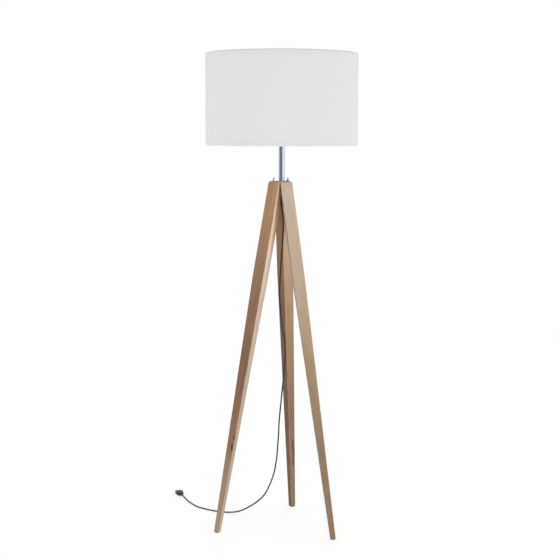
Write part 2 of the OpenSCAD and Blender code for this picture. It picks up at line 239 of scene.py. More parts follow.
def knot_field(k, upright, knots):
    """How near a point is to a knot: a wide pull on the grain, the dark core, and the distance.
    A knot is (its centre, its size, how much it is squeezed along the leg)."""
    x, y, z = k.parts(upright)
    ragged_edge = k.noise(k.scaled(upright, (1, 1, 0.4)), 260, 3, 0.6)
    field = None
    for (kx, ky, kz), size, squeeze in knots:
        away = k.join(k.math("SUBTRACT", x, kx), k.math("SUBTRACT", y, ky),
                      k.math("MULTIPLY", k.math("SUBTRACT", z, kz), squeeze))
        far = k.add("ShaderNodeVectorMath", {0: away}, operation="LENGTH").outputs[1]
        offset = k.math("MULTIPLY_ADD", ragged_edge, size * 0.9, size * -0.45)
        ragged = k.math("ADD", offset, far)
        pull = k.span(far, size * 0.5, size * 5.0, 1, 0, smooth=True)
        core = k.span(ragged, size * 0.75, size * 1.35, 1, 0, smooth=True)
        if field is None:
            field = (pull, core, far)
        else:
            field = (k.math("MAXIMUM", field[0], pull), k.math("MAXIMUM", field[1], core),
                     k.math("MINIMUM", field[2], far))
    return field


def tone_and_light_along_leg(k, z, stops):
    """A colour that changes along the leg: partly the board's tone, partly painted light and shade. Stops are
    (share of the height, colour).
    """
    return colour_ramp(k.tree, k.span(z, LEG_Z_FOOT, LEG_Z_TOP), stops)


def growth_rings(k, upright, shift, seed, field):
    """Growth rings, bent a little, seen as lines along the faces: from 0 between rings to 1 on one."""
    x, y, _ = k.parts(upright)
    bend = k.noise(k.scaled(upright, (1, 1, 0.16), at=shift), 9, 2, 0.5)
    centre_x = k.math("ADD", x, 0.043 + 0.011 * seed)
    centre_y = k.math("ADD", y, 0.021 - 0.014 * seed)
    across = k.join(centre_x, centre_y, 0)
    ring_r = k.add("ShaderNodeVectorMath", {0: across}, operation="LENGTH").outputs[1]
    phase = k.math("MULTIPLY_ADD", bend, 0.022, ring_r)
    if field:
        phase = k.math("MULTIPLY_ADD", field[0], 0.006, phase)
    wave = k.math("SINE", k.math("MULTIPLY", phase, 2 * math.pi / RING_PITCH))
    return k.math("POWER", k.span(wave, -1, 1), 2.2)


def with_knots(k, colour, field):
    """Reddens the grain round each knot, and draws the knot's own dark rings."""
    pull, core, far = field
    circles = k.span(k.math("SINE", k.math("MULTIPLY", far, 2 * math.pi / KNOT_RING_PITCH)), -1, 1)
    heart = k.mix(circles, (0.16, 0.058, 0.026), (0.075, 0.028, 0.013))
    colour = k.mix(k.math("MULTIPLY", pull, 0.60), colour, (0.29, 0.130, 0.070))
    return k.mix(core, colour, heart)


def worn_edges(k, upright):
    """Where the arrises are rubbed pale: near a corner both offsets from the centre are large."""
    x, y, z = k.parts(upright)
    half = k.span(z, 0.0, KNEE_Z * 1.015, FOOT_SIDE / 2, LEG_SIDE / 2)
    a = k.math("ABSOLUTE", k.math("ADD", x, y))
    b = k.math("ABSOLUTE", k.math("SUBTRACT", x, y))
    reach = k.math("DIVIDE", k.math("ADD", a, b), k.math("MULTIPLY", half, 2 * math.sqrt(2)))
    rub = k.noise(k.scaled(upright, (1, 1, 0.25)), 160, 3, 0.6)
    return k.math("MULTIPLY", k.span(reach, 0.90, 0.985, smooth=True), k.span(rub, 0.42, 0.62))


def with_end_grain(k, colour, upright, ring_line):
    """End grain on the sawn top and foot: darker, with open pores."""
    up = k.parts(k.add("ShaderNodeTexCoord").outputs["Normal"])[2]
    is_end = k.span(k.math("ABSOLUTE", up), 0.7, 0.9)
    open_pores = k.span(k.noise(upright, 1900, 2, 0.5), 0.55, 0.68)
    end = k.mix(k.math("MULTIPLY_ADD", ring_line, 0.5, k.math("MULTIPLY", open_pores, 0.4)),
                (0.33, 0.20, 0.12), (0.12, 0.066, 0.038))
    return k.mix(is_end, colour, end)


def wood(name, direction, faces, sides, seed, knots):
    """Oiled hardwood, with its grain along a leg. Two opposite faces of the square show flat grain and the
    other two, the sides,
    show edge grain: each pair has its own colour along the board. That colour is partly the board's tone and
    partly painted light and shade, paler on a pair turned to the light and darker on one turned away."""
    k = Look(name, Specular_IOR_Level=0.42)
    upright = leg_frame(k, direction)
    x, y, z = k.parts(upright)
    shift = (seed * 0.37, seed * 0.61, seed * 0.83)
    grain = k.scaled(upright, (1, 1, 0.045), turn=(0.012, 0.02, 0), at=shift)
    is_side = k.span(k.math("MULTIPLY", x, y), 2e-6, -2e-6)
    field = knot_field(k, upright, knots) if knots else None
    ring_line = growth_rings(k, upright, shift, seed, field)

    # fibres and pores, much longer than they are wide
    fibre = k.noise(grain, 620, 4, 0.62)
    pores = k.span(k.noise(k.scaled(grain, (1, 1, 0.5)), 1500, 2, 0.5), 0.60, 0.72)
    flecks = k.span(k.noise(k.scaled(upright, (1, 1, 0.11), at=shift), 420, 2, 0.5), 0.62, 0.74)
    cloud = k.noise(k.scaled(upright, (1, 1, 0.30), at=shift), 26, 3, 0.5)
    stripe = k.noise(k.scaled(upright, (1, 1, 0.02), at=shift), 95, 2, 0.5)

    # how dark the figure is here: 0 pale early wood, 1 dark late wood
    figure = k.math("MULTIPLY", ring_line, 0.30)
    figure = k.math("MULTIPLY_ADD", k.span(fibre, 0.3, 0.7), 0.26, figure)
    figure = k.math("MULTIPLY_ADD", k.span(stripe, 0.3, 0.7), 0.13, figure)
    figure = k.math("MULTIPLY_ADD", k.span(cloud, 0.3, 0.7), 0.26, figure, clamp=True)
    # the wood's tone along the leg, with painted light and shade in it
    tone_and_painted_light = k.mix(is_side, tone_and_light_along_leg(k, z, faces), tone_and_light_along_leg(k, z, sides))
    colour = k.mix(1.0, tone_and_painted_light, k.mix(figure, PALE_GRAIN, DARK_GRAIN), blend="MULTIPLY")
    colour = k.mix(k.math("MULTIPLY", pores, 0.45), colour, (0.10, 0.055, 0.030))
    colour = k.mix(k.math("MULTIPLY", flecks, 0.30), colour, (0.62, 0.47, 0.33))
    if field:
        colour = with_knots(k, colour, field)
    worn = worn_edges(k, upright)
    colour = k.mix(k.math("MULTIPLY", worn, 0.30), colour, (0.66, 0.50, 0.36))
    k.set("Base Color", with_end_grain(k, colour, upright, ring_line))

    rough = k.span(fibre, 0.3, 0.7, 0.40, 0.56)
    k.set("Roughness", k.math("MULTIPLY_ADD", worn, 0.10, rough))
    height = k.math("MULTIPLY", fibre, 0.5)
    height = k.math("MULTIPLY_ADD", ring_line, -0.22, height)
    height = k.math("MULTIPLY_ADD", pores, -0.6, height)
    k.bump(height, 0.35, 0.0003)
    return k


def dress_legs():
    """Three boards from the same timber, each with its own colour on its faces and sides; those colours also
    hold painted light and shade.
    """
    # left leg: faces painted darker in the middle, as shade, and sides painted paler towards the top, as
    # light
    left = wood("wood_left", LEG_DIRS["leg_left"],
                [(0.0, (0.47, 0.325, 0.22)), (0.12, (0.46, 0.33, 0.23)), (0.32, (0.33, 0.19, 0.12)),
                 (0.50, (0.295, 0.158, 0.098)), (0.72, (0.385, 0.23, 0.14)), (1.0, (0.60, 0.37, 0.21))],
                [(0.0, (0.42, 0.34, 0.27)), (0.3, (0.38, 0.31, 0.24)), (0.6, (0.47, 0.375, 0.30)),
                 (0.8, (0.64, 0.50, 0.385)), (1.0, (0.72, 0.52, 0.38))],
                0.0, [((0.0040, 0.0136, 0.252), 0.0030, 0.26), ((0.0028, 0.0157, 0.286), 0.0022, 0.30)])
    # right leg: painted shade, darker towards the foot where less light reaches
    right = wood("wood_right", LEG_DIRS["leg_right"],
                 [(0.0, (0.26, 0.18, 0.12)), (0.5, (0.36, 0.25, 0.16)), (1.0, (0.48, 0.37, 0.28))],
                 [(0.0, (0.25, 0.175, 0.115)), (0.25, (0.262, 0.182, 0.118)), (0.42, (0.32, 0.228, 0.138)),
                  (0.60, (0.43, 0.325, 0.23)), (0.80, (0.48, 0.375, 0.285)), (1.0, (0.50, 0.41, 0.335))],
                 1.0, [])
    # rear leg: painted shade, darker towards the foot; its sides, turned away from the light, painted dark,
    # darkest at the top where the legs shade each other under the hub
    rear = wood("wood_rear", LEG_DIRS["leg_rear"],
                [(0.0, (0.205, 0.145, 0.084)), (0.3, (0.222, 0.137, 0.074)), (0.5, (0.275, 0.175, 0.094)),
                 (0.8, (0.40, 0.28, 0.185)), (1.0, (0.42, 0.30, 0.20))],
                [(0.0, (0.148, 0.083, 0.037)), (0.35, (0.160, 0.081, 0.036)), (0.6, (0.207, 0.088, 0.046)),
                 (0.85, (0.43, 0.22, 0.110)), (0.92, (0.40, 0.17, 0.07)), (1.0, (0.17, 0.062, 0.024))],
                2.0, [((-0.0060, -0.0098, 0.200), 0.0042, 0.20), ((-0.0040, -0.0114, 0.170), 0.0038, 0.17),
                      ((-0.0054, -0.0094, 0.138), 0.0030, 0.16)])
    dress(left, "leg_left")
    dress(right, "leg_right")
    dress(rear, "leg_rear")


# ---------- Metals, plastics and cloth ----------

THREAD_GAP = 0.00085
# Half the thickness of a rolled rim, and how far from the rim the hem's edge lies, where a shadow line is
# painted outside
HEM_BEND = (SHADE_R - HEM_IN_R) / 2
HEM_SHOWS = 0.0145
# Half the width of the line pressed there, and how far it takes to fade out
HEM_LINE, HEM_LINE_FADE = 0.0006, 0.0018


def metal(name, colour, rough, stretch=(1, 1, 1), depth=0.00002):
    """Plated or rolled metal: fine lines, and duller patches that are darker and rougher."""
    k = Look(name, Metallic=1.0)
    place = k.coords()
    lines = k.noise(k.scaled(place, stretch), 900, 3, 0.6)
    dull = k.span(k.noise(place, 55, 4, 0.6), 0.42, 0.68)
    darker = tuple(c * 0.80 for c in colour)
    k.set("Base Color", k.mix(k.math("MULTIPLY", dull, 0.48, clamp=True), colour, darker))
    rougher = k.span(lines, 0.3, 0.7, rough, rough + 0.10)
    k.set("Roughness", k.math("MULTIPLY_ADD", dull, 0.06, rougher))
    k.bump(lines, 0.25, depth)
    return k


def chrome():
    """Polished plating with faint smears and hairlines along the pole."""
    k = Look("pole_chrome", Metallic=1.0)
    place = k.coords()
    smears = k.noise(k.scaled(place, (1, 1, 0.12)), 45, 3, 0.55)
    hair = k.noise(k.scaled(place, (1, 1, 0.02)), 1400, 2, 0.5)
    k.set("Base Color", k.mix(k.span(smears, 0.45, 0.75, 0, 0.4), (0.89, 0.91, 0.95), (0.82, 0.84, 0.89)))
    k.set("Roughness", k.span(smears, 0.40, 0.75, 0.06, 0.11))
    k.bump(hair, 0.08, 0.00001)
    return k


def plastic(name, colour, rough, speck=0.0, coat=0.0, depth=0.00003, grain=1600):
    """Moulded plastic or ceramic: a fine grain, and broad patches of slightly different colour and gloss."""
    k = Look(name, Specular_IOR_Level=0.5, Coat_Weight=coat)
    place = k.coords()
    fine = k.noise(place, grain, 2, 0.5)
    broad = k.noise(place, 70, 3, 0.5)
    darker = tuple(c * (0.90 - speck) for c in colour)
    k.set("Base Color", k.mix(k.span(broad, 0.40, 0.70, 0, 0.6), colour, darker))
    k.set("Roughness", k.math("ADD", k.span(broad, 0.3, 0.7, rough, rough + 0.10),
                              k.span(fine, 0.3, 0.7, -0.03, 0.03)))
    k.bump(fine, 0.25, depth)
    return k


def felt():
    """Brown felt: tangled hairs in soft tufts."""
    k = Look("felt", Roughness=0.95, Sheen_Weight=0.4, Sheen_Roughness=0.5, Specular_IOR_Level=0.15)
    place = k.coords()
    hairs = k.noise(k.scaled(place, (1, 1, 0.6)), 2600, 5, 0.7, 0.6)
    tufts = k.noise(place, 420, 3, 0.6)
    k.set("Base Color", k.mix(k.span(tufts, 0.3, 0.7), (0.085, 0.060, 0.042), (0.038, 0.026, 0.019)))
    k.bump(k.math("MULTIPLY_ADD", tufts, 0.6, hairs), 0.8, 0.0004)
    return k


def lining():
    """Stiff white lining film: smooth, a little glossy, with faint roller lines."""
    k = Look("shade_lining", Specular_IOR_Level=0.4, Subsurface_Weight=0.15, Subsurface_Scale=0.01,
             Subsurface_Radius=(1.0, 0.9, 0.8))
    place = k.coords()
    lines = k.noise(k.scaled(place, (0.12, 0.12, 1)), 700, 3, 0.5)
    broad = k.noise(place, 14, 3, 0.5)
    k.set("Base Color", k.mix(k.span(broad, 0.3, 0.7), (0.90, 0.89, 0.87), (0.86, 0.85, 0.82)))
    k.set("Roughness", k.span(lines, 0.3, 0.7, 0.38, 0.55))
    k.bump(lines, 0.15, 0.0001)
    return k


def opal():
    """Opal glass-like plastic, milky right through."""
    k = Look("bulb_opal", Specular_IOR_Level=0.5, Subsurface_Weight=0.3, Subsurface_Scale=0.008,
             Subsurface_Radius=(1.0, 0.95, 0.85))
    place = k.coords()
    cloud = k.noise(place, 40, 3, 0.5)
    fine = k.noise(place, 900, 2, 0.5)
    k.set("Base Color", k.mix(k.span(cloud, 0.3, 0.7), (0.92, 0.91, 0.88), (0.88, 0.87, 0.83)))
    k.set("Roughness", k.span(cloud, 0.3, 0.7, 0.24, 0.34))
    k.bump(fine, 0.10, 0.00003)
    return k


def plain_weave(k, across, up):
    """Threads over and under each other, as on a chessboard: the height of the thread on top."""
    turns_a = k.math("MULTIPLY", across, math.pi / THREAD_GAP)
    turns_b = k.math("MULTIPLY", up, math.pi / THREAD_GAP)
    warp = k.math("ABSOLUTE", k.math("SINE", turns_a))
    weft = k.math("ABSOLUTE", k.math("SINE", turns_b))
    checker = k.math("MULTIPLY", k.math("COSINE", turns_a), k.math("COSINE", turns_b))
    over = k.span(checker, -0.35, 0.35, smooth=True)
    under = k.math("SUBTRACT", 1.0, over)
    return k.math("ADD", k.math("MULTIPLY", warp, over), k.math("MULTIPLY", weft, under))


def hem_painted_shadow_masks(k, up):
    """Masks for painted shadow where the hem lies inside: a darker strip over the doubled cloth, as if less
    light came through it, and a pressed line at its edge, painted darker as shade in the crease.
    """
    rim = k.math("MINIMUM", k.math("ADD", up, HEM_BEND), k.math("SUBTRACT", SHADE_H - HEM_BEND, up))
    doubled_hem_shadow = k.span(rim, HEM_SHOWS + HEM_LINE, HEM_SHOWS - HEM_LINE)
    line = k.span(k.math("ABSOLUTE", k.math("SUBTRACT", rim, HEM_SHOWS)), HEM_LINE_FADE, HEM_LINE)
    return doubled_hem_shadow, line


def weave():
    """Plain-weave cotton and linen: thread pitch under a millimetre, with thicker slub threads."""
    k = Look("shade_fabric", Specular_IOR_Level=0.25, Sheen_Weight=0.25, Sheen_Roughness=0.55)
    across, up, _ = k.parts(k.uv())
    doubled_hem_shadow, line = hem_painted_shadow_masks(k, up)
    wobble = k.noise(k.scaled(k.uv(), (1, 1, 1)), 90, 2, 0.5)
    thread = plain_weave(k, k.math("MULTIPLY_ADD", wobble, 0.0006, across),
                         k.math("MULTIPLY_ADD", wobble, 0.0006, up))
    slub_up = k.noise(k.scaled(k.uv(), (1, 0.035, 1)), 900, 2, 0.6)
    slub_across = k.noise(k.scaled(k.uv(), (0.035, 1, 1)), 900, 2, 0.6)
    slubs = k.math("MAXIMUM", k.span(slub_up, 0.58, 0.72), k.span(slub_across, 0.58, 0.72))
    fuzz = k.noise(k.uv(), 3200, 3, 0.6)
    cloud = k.noise(k.uv(), 7, 3, 0.5)
    colour = k.mix(k.span(thread, 0.1, 0.95), (0.735, 0.730, 0.712), (0.840, 0.838, 0.822))
    colour = k.mix(k.math("MULTIPLY", slubs, 0.55), colour, (0.870, 0.866, 0.848))
    colour = k.mix(k.span(cloud, 0.35, 0.7, 0, 0.25), colour, (0.790, 0.788, 0.775))
    # painted shadow: the doubled cloth of the hem painted darker, as if less light came through, and a darker
    # line painted in the crease at its edge
    colour = k.mix(k.math("MULTIPLY", doubled_hem_shadow, 0.05), colour, (0.62, 0.615, 0.60))
    colour = k.mix(k.math("MULTIPLY", line, 0.10), colour, (0.56, 0.55, 0.53))
    k.set("Base Color", colour)
    k.set("Roughness", k.span(fuzz, 0.3, 0.7, 0.80, 0.95))
    height = k.math("MULTIPLY_ADD", slubs, 0.55, thread)
    height = k.math("MULTIPLY_ADD", line, -0.5, height)
    height = k.math("MULTIPLY_ADD", fuzz, 0.25, height)
    k.bump(height, 0.45, 0.00018)
    return k


def dress_frame():
    """A material for each CAD node that stays, apart from the legs. Returns the two used again."""
    zinc = metal("steel_zinc", (0.56, 0.56, 0.55), 0.34)
    dress(zinc, "leg_washers", "hub_pipe", "hub_washer", "hub_nut", "pole_lower_bush",
          "pole_upper_bush", "holder_pipe", "holder_nut")
    dress(metal("plate_steel", (0.74, 0.67, 0.60), 0.50, stretch=(1, 0.06, 1), depth=0.00004), "hub_plate")
    dress(chrome(), "pole")
    dress(plastic("gland_black", (0.022, 0.022, 0.024), 0.45, depth=0.00006), "cord_gland")
    dress(plastic("cable_black", (0.030, 0.030, 0.033), 0.38), "inner_cable")
    dress(plastic("core_brown", (0.16, 0.065, 0.022), 0.35), "core_live")
    dress(plastic("core_blue", (0.025, 0.115, 0.40), 0.35), "core_neutral")
    dress(plastic("holder_white", (0.80, 0.80, 0.77), 0.26, coat=0.15), "holder_base", "holder_sleeve",
          "shade_ring_nut", "switch_bar", "switch_caps")
    dress(plastic("insert_ceramic", (0.76, 0.73, 0.67), 0.55, speck=0.05, depth=0.0001, grain=700),
          "holder_insert")
    dress(metal("contact_brass", (0.74, 0.53, 0.24), 0.22), "thread_shell", "centre_spring", "switch_contact")
    nickel = metal("bulb_metal", (0.72, 0.72, 0.72), 0.24)
    dress(nickel, "bulb_tip")
    dress(plastic("bulb_insulator", (0.015, 0.015, 0.018), 0.10, coat=0.4), "bulb_insulator")
    dress(plastic("bulb_white", (0.84, 0.84, 0.82), 0.30), "bulb_housing")
    dress(metal("bulb_board", (0.80, 0.78, 0.60), 0.40), "bulb_led_board")
    dress(opal(), "bulb_globe")
    dress(felt(), "felt_pads")
    dress(lining(), "shade_liner")
    dress(plastic("wire_white", (0.82, 0.82, 0.80), 0.36, depth=0.00008, grain=700), "shade_top_ring",
          "shade_bottom_ring", "spider_arms", "fitter_ring")
    dress(metal("pin_nickel", (0.70, 0.68, 0.64), 0.20), "plug_pins")
    return zinc, nickel


# ---------- Mesh helpers ----------

def smooth(t):
    """A smooth step: 0 for t up to 0, and 1 from 1 on."""
    t = min(1, max(0, t))
    return t * t * (3 - 2 * t)


def piece(name, points, faces, look, body, uvs=None):
    """A smooth-shaded mesh with the given material, attached to a body."""
    data = bpy.data.meshes.new(name)
    data.from_pydata([tuple(p) for p in points], [], faces)
    if uvs:
        layer = data.uv_layers.new(name="Lay")
        for loop in data.loops:
            layer.data[loop.index].uv = uvs[loop.vertex_index]
    data.polygons.foreach_set("use_smooth", [True] * len(data.polygons))
    data.materials.append(look.mat)
    data.update()
    obj = bpy.data.objects.new(name, data)
    scene.collection.objects.link(obj)
    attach(obj, body)
    return obj


def grid_faces(rows, cols, wrap=False):
    """Quads over a grid of points, row by row; wrap joins the last column to the first."""
    faces = []
    for r in range(rows - 1):
        for c in range(cols if wrap else cols - 1):
            n = (c + 1) % cols
            faces.append((r * cols + c, r * cols + n, (r + 1) * cols + n, (r + 1) * cols + c))
    return faces


def closing_faces(rows, cols):
    """Quads that join the last row of a wrapped grid to its first, for a ring-shaped solid."""
    last = (rows - 1) * cols
    return [(last + c, last + (c + 1) % cols, (c + 1) % cols, c) for c in range(cols)]


def lathe(profile, count, place):
    """Points and faces of a closed turned solid: profile is (radius, along) pairs, from axis to axis."""
    points, faces = [], []
    rings = []
    for radius, along in profile:
        if radius < 1e-9:
            rings.append([len(points)])
            points.append(place @ Vector((0, 0, along)))
            continue
        rings.append(list(range(len(points), len(points) + count)))
        for i in range(count):
            a = 2 * math.pi * i / count
            points.append(place @ Vector((radius * math.cos(a), radius * math.sin(a), along)))
    for low, high in zip(rings, rings[1:]):
        for i in range(count):
            j = (i + 1) % count
            if len(low) == 1:
                faces.append((low[0], high[j], high[i]))
            elif len(high) == 1:
                faces.append((low[i], low[j], high[0]))
            else:
                faces.append((low[i], low[j], high[j], high[i]))
    return points, faces


def joined(parts):
    """Several closed solids' points and faces as one list of each."""
    points, faces = [], []
    for some_points, some_faces in parts:
        start = len(points)
        points += some_points
        faces += [tuple(start + i for i in face) for face in some_faces]
    return points, faces


def crease(obj, angle=40):
    """Smooth shading that breaks at sharp edges."""
    split = obj.modifiers.new("crease", "EDGE_SPLIT")
    split.split_angle = math.radians(angle)


# ---------- Cord and plug ----------

# The strain relief's radius at its thin end, how much it widens, and how far that end is rounded
RELIEF_R, RELIEF_FLARE, RELIEF_EDGE = 0.0030, 0.0015, 0.0001
# The rings moulded round the strain relief, and the plain stretch at each of its ends
RELIEF_RING_PITCH, RELIEF_GROOVE, RELIEF_END = 0.0033, 0.00055, 0.0012
# Half widths of the plug's body: at its neck, past it, and across its thickness
PLUG_NECK_HALF, PLUG_HALF, PLUG_THIN_HALF = 0.0085, 0.0130, 0.0068
PLUG_ROUND = 0.0016
PLUG_SQUARENESS = 0.42
# Shares of the body's length: where it is full width, and the finger grips
PLUG_WIDENS = 0.45
GRIPS_FROM, GRIPS_TO, GRIP_PITCH = 0.24, 0.74, 0.1
PLUG_GRIP = 0.00045


def smooth_route(points, step=0.008):
    """Points along the Catmull-Rom curve through the route, which is the curve its solid follows."""
    pts = [Vector(p) for p in points]
    out = []
    for i in range(len(pts) - 1):
        a, b = pts[max(i - 1, 0)], pts[i]
        c, d = pts[i + 1], pts[min(i + 2, len(pts) - 1)]
        parts = max(1, round((c - b).length / step))
        for k in range(parts):
            t = k / parts
            out.append((2 * b + (c - a) * t + (2 * a - 5 * b + 4 * c - d) * t * t
                        + (3 * b - a - 3 * c + d) * t ** 3) / 2)
    return out + [pts[-1]]


def make_cord():
    """The cord as a curve along its route, and its length."""
    line = smooth_route(ROUTE)
    data = bpy.data.curves.new("cord_flex", "CURVE")
    data.dimensions = "3D"
    data.bevel_depth = CORD_D / 2
    data.bevel_resolution = 4
    data.use_fill_caps = True
    spline = data.splines.new("POLY")
    spline.points.add(len(line) - 1)
    for point, at in zip(spline.points, line):
        point.co = (*at, 1)
    data.materials.append(plastic("cord_black", (0.022, 0.020, 0.020), 0.50, depth=0.00005).mat)
    cord = bpy.data.objects.new("cord_flex", data)
    scene.collection.objects.link(cord)
    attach(cord, "stand")
    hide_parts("cord")
    length = sum((b - a).length for a, b in zip(line, line[1:]))
    return cord, length


def plug_place():
    """From a plug lying along +Z to its place at the cord's end."""
    turn = Matrix.Rotation(math.radians(PLUG_DIR), 4, "Z") @ Matrix.Rotation(math.pi / 2, 4, "Y")
    return Matrix.Translation(ROUTE[-1]) @ turn


def strain_profile():
    """The strain relief's outline: a taper with rings moulded round it."""
    steps = 40
    profile = [(0, 0), (RELIEF_R - RELIEF_EDGE, 0)]
    for i in range(1, steps):
        along = RELIEF_L * i / steps
        radius = RELIEF_R + RELIEF_FLARE * i / steps
        groove = max(0.0, math.sin(2 * math.pi * along / RELIEF_RING_PITCH)) ** 2
        inside = RELIEF_END < along < RELIEF_L - RELIEF_END
        profile.append((radius - RELIEF_GROOVE * groove * inside, along))
    return profile + [(RELIEF_R + RELIEF_FLARE, RELIEF_L), (0, RELIEF_L)]


def shell_ring(share, place, around=56):
    """One ring of the plug's body: a rounded oblong, with grips for the fingers at its sides."""
    wide = PLUG_NECK_HALF + (PLUG_HALF - PLUG_NECK_HALF) * smooth(share / PLUG_WIDENS)
    to_end = min(share, 1 - share) * PLUG_L
    inset = 0.0
    if to_end <= PLUG_ROUND:
        inset = PLUG_ROUND - math.sqrt(max(0, PLUG_ROUND ** 2 - (PLUG_ROUND - to_end) ** 2))
    grip = 0.0
    if GRIPS_FROM < share < GRIPS_TO:
        grip = PLUG_GRIP * max(0.0, math.sin(2 * math.pi * (share - GRIPS_FROM) / GRIP_PITCH)) ** 2
    ring = []
    for i in range(around):
        a = 2 * math.pi * i / around
        ca, sa = math.cos(a), math.sin(a)
        x = math.copysign(abs(ca) ** PLUG_SQUARENESS, ca) * (PLUG_THIN_HALF - inset)
        y = math.copysign(abs(sa) ** PLUG_SQUARENESS, sa) * (wide - inset)
        y -= math.copysign(grip, sa) if abs(sa) > 0.75 else 0
        ring.append(place @ Vector((x, y, RELIEF_L + PLUG_L * share)))
    return ring


def make_plug():
    """The strain relief with its grooves, and the plug's body with finger grips."""
    black = plastic("plug_black", (0.026, 0.026, 0.029), 0.42, depth=0.00007)
    place = plug_place()
    points, faces = lathe(strain_profile(), 32, place)
    strain = piece("plug_strain", points, faces, black, "stand")
    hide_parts("plug_relief")

    rows = 46
    rings = [shell_ring(r / (rows - 1), place) for r in range(rows)]
    around = len(rings[0])
    faces = grid_faces(rows, around, wrap=True)
    faces.append(tuple(range(around)))
    faces.append(tuple(range((rows - 1) * around, rows * around))[::-1])
    points = [point for ring in rings for point in ring]
    shell = piece("plug_shell", points, [f[::-1] for f in faces], black, "stand")
    crease(shell)
    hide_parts("plug_body")
    return strain, shell


# ---------- Bolts, nuts and the bulb's cap ----------

STUD_CHAMFER = 0.0006
BOLT_PITCH, BOLT_THREAD_DEEP = 0.0008, 0.0003
# The rolled thread starts a little under the plate's top, and ends just short of the bolt's
BOLT_THREAD_LOW, BOLT_END = 1.1685, STUD_TOP - 0.0001
# A nut's flat face as a share of its width, and the slope of its chamfer
NUT_FACE_SHARE = 0.94
NUT_CHAMFER = math.radians(30)
NUT_TURNS = [math.radians(a) for a in (12, 41, 27)]
CAP_PITCH, CAP_THREAD_DEEP, CAP_THREAD_FADE = 0.00363, 0.0009, 0.003


def stud_columns():
    """Where the leg bolts' axes stand, seen from above."""
    return [Vector((STUD_AT_R * math.cos(a), STUD_AT_R * math.sin(a), 0))
            for a in (math.radians(d) for d in LEG_DIRS.values())]


def thread_solid(at, around=28, steps=104):
    """A leg bolt: plain inside the wood, with a rolled thread above it, and a chamfered end."""
    rise = BOLT_END - BOLT_THREAD_LOW
    rings = [(height, 0) for height in (STUD_LOW, STUD_LOW + STUD_CHAMFER, BOLT_THREAD_LOW)]
    rings += [(BOLT_THREAD_LOW + rise * i / steps, BOLT_THREAD_DEEP) for i in range(1, steps + 1)]
    points = []
    for height, deep in rings:
        to_end = min(height - STUD_LOW, STUD_TOP - height)
        limit = STUD_R - max(0, STUD_CHAMFER - to_end)
        for i in range(around):
            turn = i / around
            wave = (height / BOLT_PITCH - turn) % 1
            r = min(STUD_R - deep * (1 - abs(2 * wave - 1)) ** 0.8, limit)
            a = 2 * math.pi * turn
            points.append(at + Vector((r * math.cos(a), r * math.sin(a), height)))
    faces = grid_faces(len(rings), around, wrap=True)
    faces.append(tuple(range(around))[::-1])
    faces.append(tuple(range(len(points) - around, len(points))))
    return points, faces


def nut_solid(at, turn, around=72):
    """A hexagon nut, chamfered at both ends."""
    apothem = NUT_AF / 2
    flat_r = apothem * NUT_FACE_SHARE
    layers = 6
    points = []
    for layer in range(layers):
        for i in range(around):
            a = 2 * math.pi * i / around
            corner = math.remainder(a, math.pi / 3)
            edge = apothem / math.cos(corner)
            slope = (edge - flat_r) * math.tan(NUT_CHAMFER)
            r = (STUD_R, flat_r, edge, edge, flat_r, STUD_R)[layer]
            z = (0, 0, slope, NUT_H - slope, NUT_H, NUT_H)[layer]
            points.append(at + Vector((r * math.cos(a + turn), r * math.sin(a + turn), NUT_LOW + z)))
    return points, grid_faces(layers, around, wrap=True) + closing_faces(layers, around)


def make_bolts(look):
    """The three leg bolts as one piece, and their nuts as another, each nut turned its own way."""
    points, faces = joined([thread_solid(at) for at in stud_columns()])
    studs = piece("leg_bolts", points, faces, look, "stand")
    crease(studs, 50)
    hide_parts("leg_studs")
    points, faces = joined([nut_solid(at, turn) for at, turn in zip(stud_columns(), NUT_TURNS)])
    nuts = piece("leg_bolt_nuts", points, faces, look, "stand")
    crease(nuts, 25)
    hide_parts("leg_nuts")
    return [studs, nuts]


def make_bulb_cap(look, around=72, rows=84):
    """The bulb's thin screw cap, with its rolled thread that fades out at both ends."""
    bottom, top = (corner[2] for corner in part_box("bulb_cap"))
    heights = [bottom + (top - bottom) * i / (rows - 1) for i in range(rows)]
    points = []
    for wall, some_heights in ((0, heights), (CAP_WALL, heights[::-1])):
        for height in some_heights:
            fade = smooth(min(height - bottom, top - height) / CAP_THREAD_FADE)
            for i in range(around):
                turn = i / around
                wave = 0.5 - 0.5 * math.cos(2 * math.pi * (height / CAP_PITCH - turn))
                r = CAP_R - wall - CAP_THREAD_DEEP * fade * wave
                a = 2 * math.pi * turn
                points.append(Vector((r * math.cos(a), r * math.sin(a), height)))
    faces = grid_faces(2 * rows, around, wrap=True) + closing_faces(2 * rows, around)
    cap = piece("bulb_screw_cap", points, faces, look, "bulb")
    crease(cap, 50)
    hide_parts("bulb_cap")
    return cap


# ---------- Shade ----------

CLOTH_T = 0.0007
SEAM_AT = math.radians(100)
SEAM_LAP = 0.013
# How high the lap lies on the cloth below it, and how far it takes to rise there
LAP_LIFT, LAP_RISE = 0.0008, 0.004
RIPPLE = 0.00022
RIM_WAVE = 0.0002
# At a spider arm: the room each side of it, and the share of the fold that is cut away
ARM_GAP = 0.003
FOLD_CUT = 0.34
# Steps along each hem with its fold, and up the outside
FOLD_STEPS, SIDE_STEPS = 18, 48


def fold_point(s):
    """A point on the hem and the rolled rim, as (radius, height): s is the distance from the hem's edge."""
    hem = HEM_H - HEM_BEND
    if s < hem:
        return (HEM_IN_R, HEM_H - s)
    a = math.pi + (s - hem) / HEM_BEND
    return (HEM_IN_R + HEM_BEND + HEM_BEND * math.cos(a), HEM_BEND + HEM_BEND * math.sin(a))


